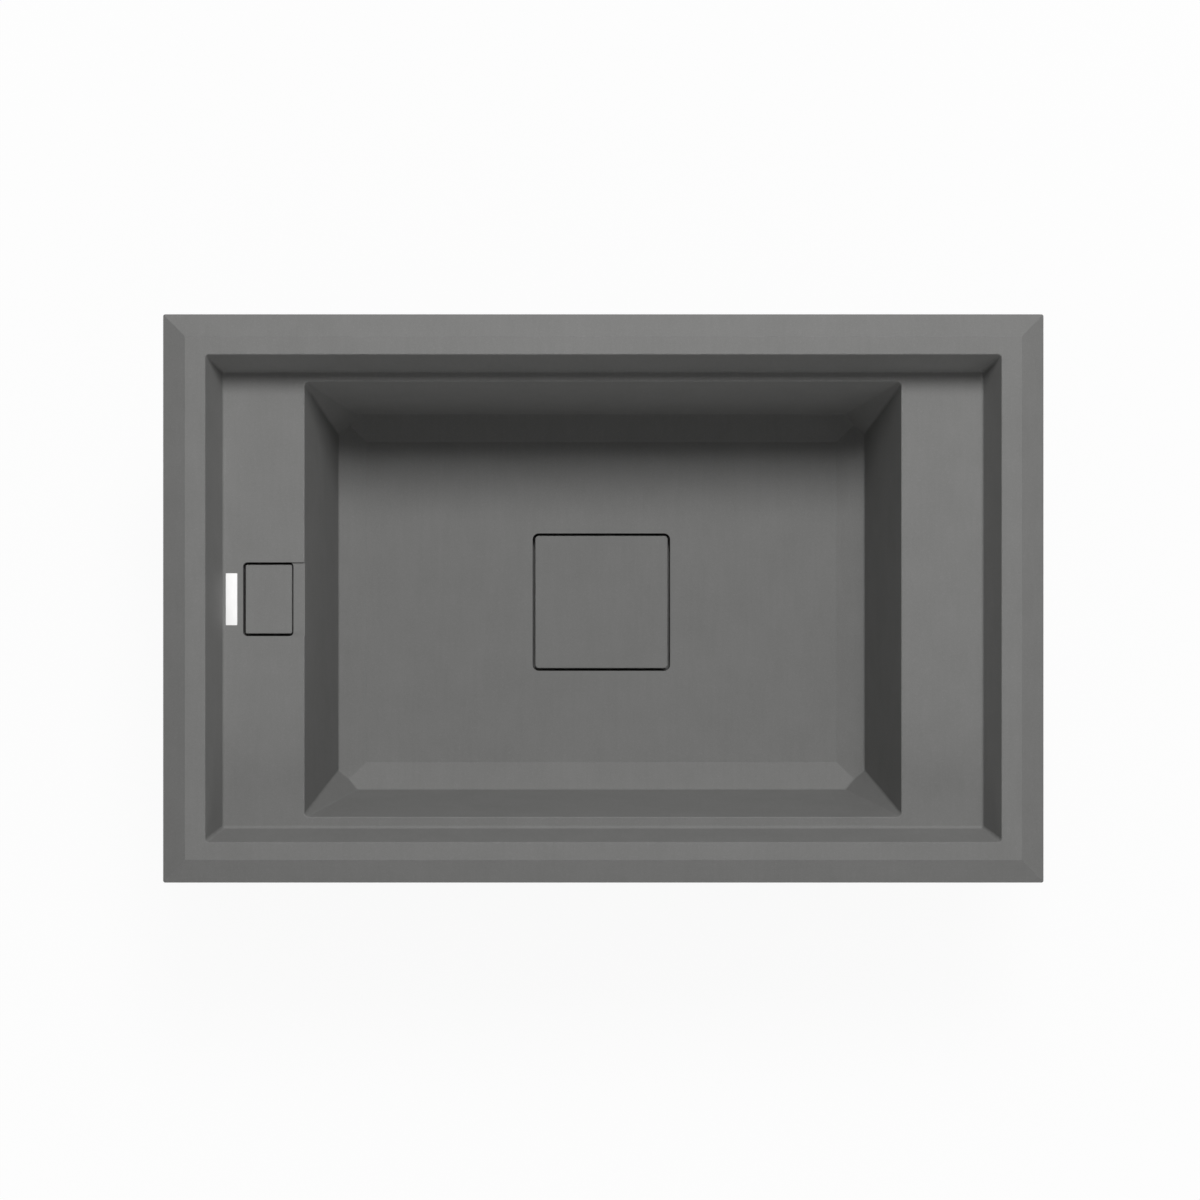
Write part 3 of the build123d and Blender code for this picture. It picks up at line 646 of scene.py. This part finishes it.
basket_low, basket_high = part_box("strainer_basket")
basket_sheet = 0.8 * MM
basket_floor = basket_low.z + basket_sheet / 2
basket_lip = basket_high.z - basket_sheet / 2
basket_wall = basket_high.x - 3.4 * MM
basket_slot_top = basket_low.z + 8 * MM
basket_slot_end, bush_hole = 11 * MM, 6.5 * MM
basket_outline = bend_line(
    [
        (basket_high.x - 0.3 * MM, basket_lip),
        (basket_wall, basket_lip, 0.8 * MM),
        (basket_wall, basket_slot_top, 0),
        (basket_wall, basket_floor, 1.8 * MM),
        (basket_slot_end, basket_floor, 0),
        (bush_hole, basket_floor),
    ],
    1 * MM,
)


def in_basket_slot(radius, height):
    """Where the basket is slotted: its floor and the foot of its wall."""
    return radius > basket_slot_end and height < basket_slot_top


pressed(
    "pressed_basket",
    slotted_sheet(basket_outline, 16, 2.6 * MM, in_basket_slot, 4),
    basket_sheet,
    waste_steel,
    "basket",
    ["strainer_basket"],
)

knob_low, knob_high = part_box("stopper_knob")
knob_radius, knob_top = knob_high.x, knob_high.z
stem_radius = 3 * MM
knob_outline = [(0, knob_top - 0.5 * MM), (knob_radius - 3.5 * MM, knob_top - 0.4 * MM)]
knob_outline += rounded(
    [
        (knob_radius - 2 * MM, knob_top),
        (knob_radius, knob_top, 1.1 * MM),
        (knob_radius, knob_top - 3 * MM, 0.8 * MM),
        (stem_radius, knob_top - 6 * MM, 2.5 * MM),
        (stem_radius, knob_low.z, 0.8 * MM),
        (0, knob_low.z),
    ],
    1 * MM,
    6,
    closed=False,
)
piece(
    "stopper_pull",
    turned(knob_outline, closed=False),
    waste_steel,
    "stopper",
    ["stopper_knob"],
)

seal_low, seal_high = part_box("stopper_seal")
seal_radius, seal_top = seal_high.x, seal_high.z
seal_web, seal_lip = 2.5 * MM, 2.5 * MM
dish_depth, dish_inner, dish_outer = 0.6 * MM, 15 * MM, 25 * MM
dish_start, dish_end = 14 * MM, 26 * MM
seal_outline = rounded(
    [
        (stem_radius, seal_top, 0.3 * MM),
        (dish_start, seal_top, 0.5 * MM),
        (dish_inner, seal_top - dish_depth, 0.5 * MM),
        (dish_outer, seal_top - dish_depth, 0.5 * MM),
        (dish_end, seal_top, 0.5 * MM),
        (seal_radius, seal_top, 1.6 * MM),
        (seal_radius, seal_low.z, 0.5 * MM),
        (seal_radius - seal_lip, seal_low.z, 0.5 * MM),
        (seal_radius - seal_lip, seal_top - seal_web, 0.8 * MM),
        (stem_radius, seal_top - seal_web, 0.3 * MM),
    ],
    0.5 * MM,
)
piece(
    "stopper_disc", turned(seal_outline), rubber, "stopper", ["stopper_seal"]
)

# ---- Rose over the overflow ----
rose_low, rose_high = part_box("overflow_rose")
rose_sheet = 0.8 * MM
rose_radius = (rose_high.x - rose_low.x) / 2
rose_middle = rose_high.z - rose_sheet / 2
rose_place = Matrix.Translation((overflow_axis[0], 0, 0))
rose_slot_outer, rose_slot_inner = 13 * MM, 6.5 * MM
rose_seat, rose_hole = 5.2 * MM, 2.8 * MM
rose_outline = bend_line(
    [
        (rose_radius - 0.3 * MM, rose_low.z + rose_sheet / 2),
        (rose_radius - 1.6 * MM, rose_middle, 0.5 * MM),
        (rose_slot_outer, rose_middle, 0),
        (rose_slot_inner, rose_middle, 0),
        (rose_seat, rose_middle, 0),
        (rose_hole, rose_middle),
    ],
    0.5 * MM,
)


def in_rose_slot(radius, height):
    """Where the rose is slotted."""
    return rose_slot_inner < radius < rose_slot_outer


pressed(
    "pressed_rose",
    placed(slotted_sheet(rose_outline, 6, 4 * MM, in_rose_slot, 7), rose_place),
    rose_sheet,
    rose_steel,
    "sink",
    ["overflow_rose"],
)


# ---- Waste body: threaded outlet, stiffening webs ----
def thread(pitch, depth, low, high, least):
    """The groove of a thread between two heights, on what lies beyond the least radius."""
    root = 1.25  # above one, the groove has a flat bottom

    def ripple(radius, height, angle):
        if radius < least or not low < height < high:
            return 0.0
        wave = (height / pitch - angle / tau) % 1.0
        run_out = min(1.0, (height - low) / pitch, (high - height) / pitch)
        return -depth * run_out * min(1.0, root * (1 - abs(2 * wave - 1)))

    return ripple


def stepped(low, high, step):
    """Even heights from low to high."""
    count = max(1, round((high - low) / step))
    return [low + (high - low) * number / count for number in range(count + 1)]


spigot_low, spigot_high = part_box("outlet_spigot")
spigot_flange = spigot_high.x
spigot_radius, spigot_bore = 23.9 * MM, 20.5 * MM
spigot_flange_foot = spigot_high.z - 3 * MM
pipe_pitch, pipe_groove, pipe_least = 2.309 * MM, 1.2 * MM, 23 * MM
pipe_thread_top = spigot_flange_foot - 2 * MM
spigot_outline = rounded(
    [
        (spigot_bore, spigot_high.z, 0),
        (spigot_flange, spigot_high.z, 0.3 * MM),
        (spigot_flange, spigot_flange_foot, 0.8 * MM),
        (spigot_radius, spigot_flange_foot, 1 * MM),
        (spigot_radius, spigot_flange_foot - 1.5 * MM, 0),
    ],
    0.5 * MM,
    closed=False,
)
pipe_heights = stepped(spigot_low.z + 0.8 * MM, pipe_thread_top, pipe_pitch / 6)
spigot_outline += [(spigot_radius, height) for height in pipe_heights[::-1]]
spigot_outline += [
    (spigot_radius - 0.8 * MM, spigot_low.z),
    (spigot_bore + 0.5 * MM, spigot_low.z),
    (spigot_bore, spigot_low.z + 0.5 * MM),
]
pipe_thread = thread(pipe_pitch, pipe_groove, spigot_low.z, pipe_thread_top, pipe_least)
piece(
    "threaded_outlet",
    turned(spigot_outline, ripple=pipe_thread),
    black_plastic,
    "sink",
    ["outlet_spigot"],
)

body_low, body_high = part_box("waste_body")
body_rim_foot = body_high.z - 4 * MM
body_radius, body_rim = 46.5 * MM, body_high.x
web_count, web_drop, web_half = 20, 15 * MM, 0.9 * MM
web_overlap, web_inset = 0.5 * MM, 1.2 * MM
port_room = radians(24)  # either side of the overflow port, which looks to the left


def web(turn):
    """A small gusset between the wall of the body and its rim."""
    outline = [
        (body_radius - web_overlap, body_rim_foot + web_overlap),
        (body_rim - web_inset, body_rim_foot + web_overlap),
        (body_rim - web_inset, body_rim_foot - web_inset),
        (body_radius + 1 * MM, body_rim_foot - web_drop),
        (body_radius - web_overlap, body_rim_foot - web_drop),
    ]
    points = [
        Matrix.Rotation(turn, 4, "Z") @ Vector((radius, side * web_half, height))
        for side in (-1, 1)
        for radius, height in outline
    ]
    count = len(outline)
    faces = [list(range(count))[::-1], list(range(count, 2 * count))]
    faces += [
        [corner, (corner + 1) % count, (corner + 1) % count + count, corner + count]
        for corner in range(count)
    ]
    return points, faces


web_turns = [tau * (number + 0.5) / web_count for number in range(web_count)]
piece(
    "body_webs",
    together([web(turn) for turn in web_turns if abs(turn - pi) > port_room]),
    black_plastic,
    "sink",
)

# ---- Coupling nuts of the hose, with rounded grips ----
nut_radius, nut_bore, nut_mouth = 19.3 * MM, 15.3 * MM, 12 * MM
nut_back, nut_front, nut_shoulder = -9 * MM, 7.5 * MM, 5 * MM
nut_side_end, nut_fade_end = 3 * MM, 3.2 * MM
nut_grips, grip_swell, grip_fade = 20, 0.55 * MM, 1 * MM
same_radius = 0.001 * MM


def grips(radius, height, angle):
    """Rounded grips round the outside of a nut, fading out at its edges."""
    if radius < nut_bore + 2.5 * MM:
        return 0.0
    fade = min(1.0, max(0.0, (nut_fade_end - height) / grip_fade))
    fade *= min(1.0, (height - nut_back) / grip_fade)
    return grip_swell * fade * cos(nut_grips * angle)


def on_side(point):
    """Whether a point of the outline is on the side that has the grips."""
    return abs(point[0] - nut_radius) < same_radius


nut_corners = rounded(
    [
        (nut_bore, nut_back, 0.5 * MM),
        (nut_radius, nut_back, 0.6 * MM),
        (nut_radius, nut_side_end, 0.8 * MM),
        (nut_mouth + 2.4 * MM, nut_front, 0.6 * MM),
        (nut_mouth, nut_front, 0.3 * MM),
        (nut_mouth, nut_shoulder, 0.3 * MM),
        (nut_bore, nut_shoulder, 0.3 * MM),
    ],
    0.5 * MM,
)
nut_outline = []
for here, after in zip(nut_corners, nut_corners[1:] + nut_corners[:1]):
    nut_outline.append(here)
    if on_side(here) and on_side(after):
        heights = stepped(here[1], after[1], 1 * MM)[1:-1]
        nut_outline += [(nut_radius, height) for height in heights]
coupling_nut = turned(nut_outline, 160, ripple=grips)
tail_foot = Matrix.Translation((overflow_axis[0], 0, tail_low.z)) @ Matrix.Rotation(pi, 4, "X")
port_face = Matrix.Translation((body_low.x, 0, hose_run_z)) @ Matrix.Rotation(-pi / 2, 4, "Y")
piece(
    "coupling_nuts",
    together([placed(coupling_nut, end) for end in (tail_foot, port_face)]),
    black_plastic,
    "sink",
    ["hose_nuts"],
)


# ---- Clips: threaded screws and claws with softened edges ----
def node_shape(name):
    """The welded points and faces of a carried-over node, with flat areas in one face."""
    form = bmesh.new()
    form.from_mesh(cad_nodes[name].data)
    same_point, flat = 0.002 * MM, radians(0.4)
    bmesh.ops.remove_doubles(form, verts=form.verts, dist=same_point)
    bmesh.ops.dissolve_limit(
        form, angle_limit=flat, verts=form.verts, edges=form.edges, delimit=set()
    )
    return form


def softened(name, made_name, width, finish, body, shape_first=None):
    """Stands for a carried-over node with its sharp edges rounded to a width."""
    sharp_bend = radians(35)
    form = node_shape(name)
    if shape_first:
        shape_first(form)
    sharp = [
        edge
        for edge in form.edges
        if len(edge.link_faces) == 2 and edge.calc_face_angle(0) > sharp_bend
    ]
    bmesh.ops.bevel(
        form,
        geom=sharp,
        offset=width,
        offset_type="OFFSET",
        segments=2,
        profile=0.5,
        affect="EDGES",
        clamp_overlap=True,
    )
    points = [vertex.co.copy() for vertex in form.verts]
    form.verts.index_update()
    faces = [[vertex.index for vertex in face.verts] for face in form.faces]
    form.free()
    return piece(made_name, (points, faces), finish, body, [name])


screw_head_height = 4 * MM
screw_radius, screw_core = 2.5 * MM, 1.6 * MM
screw_pitch, screw_groove, screw_least = 0.8 * MM, 0.42 * MM, 2.4 * MM
on_shank = 0.1 * MM  # how close a point of the screw lies to its shank to count as on it


def clip_screw(name, number):
    """A fixing screw: its softened head, and a threaded rod over its plain shank."""
    low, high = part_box(name)
    axis_x, axis_y = (low.x + high.x) / 2, (low.y + high.y) / 2
    head_top = low.z + screw_head_height

    def slim(form):
        """Draws the plain shank in, so that it hides in the threaded rod."""
        for vertex in form.verts:
            out = Vector((vertex.co.x - axis_x, vertex.co.y - axis_y))
            if vertex.co.z > head_top - on_shank and out.length < screw_radius + on_shank:
                vertex.co.x = axis_x + out.x * screw_core / screw_radius
                vertex.co.y = axis_y + out.y * screw_core / screw_radius
                vertex.co.z = min(vertex.co.z, high.z - 0.4 * MM)

    softened(name, f"screw_head_{number}", 0.3 * MM, screw_steel, name, slim)
    heights = stepped(head_top + 0.6 * MM, high.z - 0.6 * MM, screw_pitch / 4)
    rod = [(0, high.z), (screw_radius - 0.6 * MM, high.z)]
    rod += [(screw_radius, height) for height in heights[::-1]]
    rod += [(screw_radius - 0.3 * MM, head_top - 0.3 * MM), (0, head_top - 0.3 * MM)]
    groove = thread(
        screw_pitch, screw_groove, head_top + 1.5 * MM, high.z - 0.2 * MM, screw_least
    )
    piece(
        f"screw_thread_{number}",
        placed(
            turned(rod, 20, closed=False, ripple=groove),
            Matrix.Translation((axis_x, axis_y, 0)),
        ),
        screw_steel,
        name,
    )


for name in sorted(cad_nodes):
    kind, _, number = name.rpartition("_")
    if kind == "claw":
        softened(name, f"clip_claw_{number}", 0.35 * MM, zinc, name)
    elif kind == "clip_screw":
        clip_screw(name, number)

for name, made_name, width, body in (
    ("waste_body", "moulded_body", 0.6 * MM, "sink"),
    ("overflow_tail", "moulded_tail", 0.5 * MM, "sink"),
    ("basket_bush", "guide_bush", 0.4 * MM, "basket"),
):
    softened(name, made_name, width, black_plastic, body)


# ---- Stage, light and camera ----
def floor_finish(shade, plain_to, white_from):
    """White where it is seen; near the sink a share of plain shading keeps the shadow."""
    finish = Finish("studio_floor")
    finish.tree.nodes.remove(finish.shader)
    middle = finish.node(
        "ShaderNodeVectorMath", {"operation": "LENGTH"}, {0: finish.place()}, output="Value"
    )
    fading = finish.ramp(middle / white_from, (plain_to / white_from, 1.0), (1.0, 0.0))
    lit = finish.node(
        "ShaderNodeMixShader",
        {},
        {
            0: finish.white_rays() * (1 - shade * fading),
            1: finish.node("ShaderNodeBsdfDiffuse", {}, {"Color": grey(0.8)}),
            2: finish.node("ShaderNodeEmission", {}, {"Color": grey(1.0)}),
        },
    )
    open_below = finish.node(
        "ShaderNodeMixShader",
        {},
        {
            0: finish.node("ShaderNodeNewGeometry", output="Backfacing"),
            1: lit,
            2: finish.node("ShaderNodeBsdfTransparent"),
        },
    )
    finish.join(open_below, finish.tree.nodes["Material Output"].inputs["Surface"])
    return finish.material


def floor(reach=4.0, gap=0.5 * MM):
    """A plain floor just under the sink, clear from below."""
    height = cad_bounds[0].z - gap
    mesh = bpy.data.meshes.new("studio_floor")
    corners = [(x * reach, y * reach, height) for x, y in ((-1, -1), (1, -1), (1, 1), (-1, 1))]
    mesh.from_pydata(corners, [], [(0, 1, 2, 3)])
    mesh.materials.append(floor_finish(shade=0.06, plain_to=0.45, white_from=1.6))
    made = bpy.data.objects.new("studio_floor", mesh)
    bpy.context.scene.collection.objects.link(made)


def world(level):
    """White where it is seen or mirrored, a dim even sky elsewhere."""
    sky = bpy.data.worlds.new("studio_world")
    bpy.context.scene.world = sky
    air = Nodes(sky)
    back = air.tree.nodes["Background"]
    air.join(grey(1.0), back.inputs["Color"])
    air.join(air.white_rays() * (1 - level) + level, back.inputs["Strength"])


def soft_box(name, place, size, watts):
    """A large soft lamp aimed at the middle of the sink."""
    lamp = bpy.data.lights.new(name, "AREA")
    lamp.shape = "DISK"
    lamp.size, lamp.energy = size, watts
    made = bpy.data.objects.new(name, lamp)
    made.location = place
    made.rotation_mode = "QUATERNION"
    made.rotation_quaternion = (-Vector(place)).to_track_quat("-Z", "Y")
    made.visible_camera = False
    bpy.context.scene.collection.objects.link(made)


def overhead_camera():
    """Straight above the sink, as in the photograph, which is 1200 pixels wide."""
    height_over_rim, focal_pixels, picture_pixels = 2.055, 2301, 1200
    data = bpy.data.cameras.new("overhead_camera")
    data.sensor_width = 36
    data.lens = focal_pixels / picture_pixels * data.sensor_width
    data.shift_x, data.shift_y = 0.0158, 0.034
    camera = bpy.data.objects.new("overhead_camera", data)
    camera.location = (-0.020, -0.038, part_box("basin")[1].z + height_over_rim)
    bpy.context.scene.collection.objects.link(camera)
    bpy.context.scene.camera = camera


overhead_camera()
floor()
world(level=0.03)
for name, place, size, watts in (
    ("soft_box_back", (0.25, 1.35, 2.4), 0.9, 54.5),
    ("soft_box_wide", (0.2, 1.3, 2.4), 2.6, 12.4),
    ("soft_box_front", (0.3, -2.8, 1.0), 1.6, 13.8),
    ("soft_box_front_high", (0.1, -2.4, 1.3), 1.2, 6.2),
    ("soft_box_below", (-0.7, -0.5, -2.4), 2.0, 100),
):
    soft_box(name, place, size, watts)
bpy.context.scene.view_settings.view_transform = "Standard"
